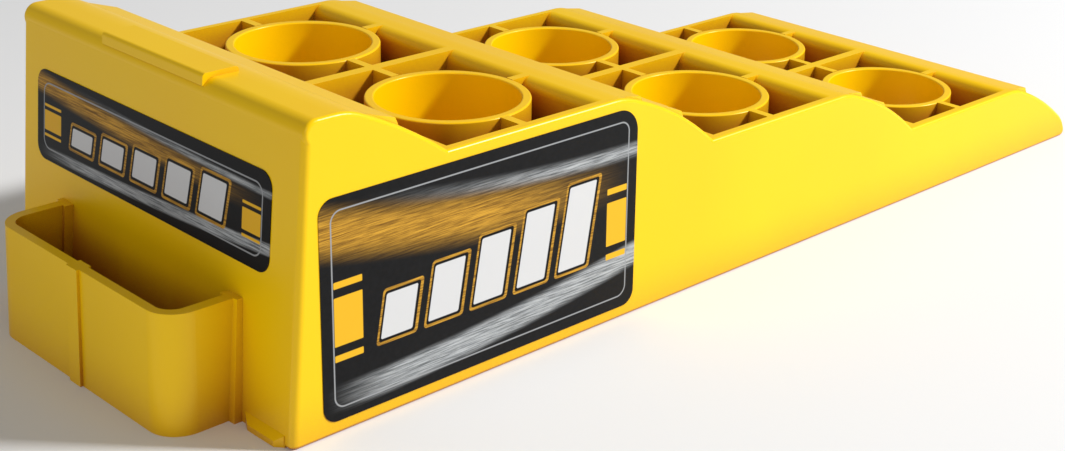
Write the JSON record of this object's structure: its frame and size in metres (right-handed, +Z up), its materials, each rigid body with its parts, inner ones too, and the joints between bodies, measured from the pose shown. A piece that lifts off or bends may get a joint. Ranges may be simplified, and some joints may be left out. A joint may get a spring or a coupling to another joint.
{
  "type": "ramp leveler",
  "caption": "Stepped hollow ramp for levelling a caravan wheel, with ring-stiffened decks, grip ribs, a loop handle on the heel and label areas.",
  "frame": {"origin": "middle of the footprint, on the ground that the ramp stands on", "axes": "+X runs down the ramp from the heel to the nose, +Y is the left-hand side when facing the nose, +Z is up"},
  "size_m": [0.5694, 0.2033, 0.1292],
  "materials": {
    "moulding": "bright yellow moulded plastic, smooth with a soft gloss and a faint moulded texture",
    "label": "black printed vinyl film with silver and gold bands, no lettering"
  },
  "bodies": {
    "root": {"right_side_wall": "moulding", "left_side_wall": "moulding", "heel_wall": "moulding", "heel_crest": "moulding", "heel_pad": "moulding", "heel_toe_lip": "moulding", "heel_grip_rib": "moulding", "upper_riser": "moulding", "upper_riser_grip_ribs": "moulding", "lower_riser": "moulding", "lower_riser_grip_ribs": "moulding", "nose": "moulding", "nose_grip_ribs": "moulding", "upper_cell_rear_wall": "moulding", "upper_cell_front_wall": "moulding", "middle_cell_rear_wall": "moulding", "middle_cell_front_wall": "moulding", "lower_cell_rear_wall": "moulding", "lower_cell_front_wall": "moulding", "upper_centre_web": "moulding", "middle_centre_web": "moulding", "lower_centre_web": "moulding", "upper_ring_right": "moulding", "upper_ring_left": "moulding", "middle_ring_right": "moulding", "middle_ring_left": "moulding", "lower_ring_right": "moulding", "lower_ring_left": "moulding", "upper_ring_right_webs": "moulding", "upper_ring_left_webs": "moulding", "middle_ring_right_webs": "moulding", "middle_ring_left_webs": "moulding", "lower_ring_right_webs": "moulding", "lower_ring_left_webs": "moulding", "heel_support_ribs": "moulding", "upper_riser_support_ribs": "moulding", "lower_riser_support_ribs": "moulding", "nose_support_ribs": "moulding", "handle_loop": "moulding", "side_label": "label", "heel_label": "label"}
  },
  "joints": []
}
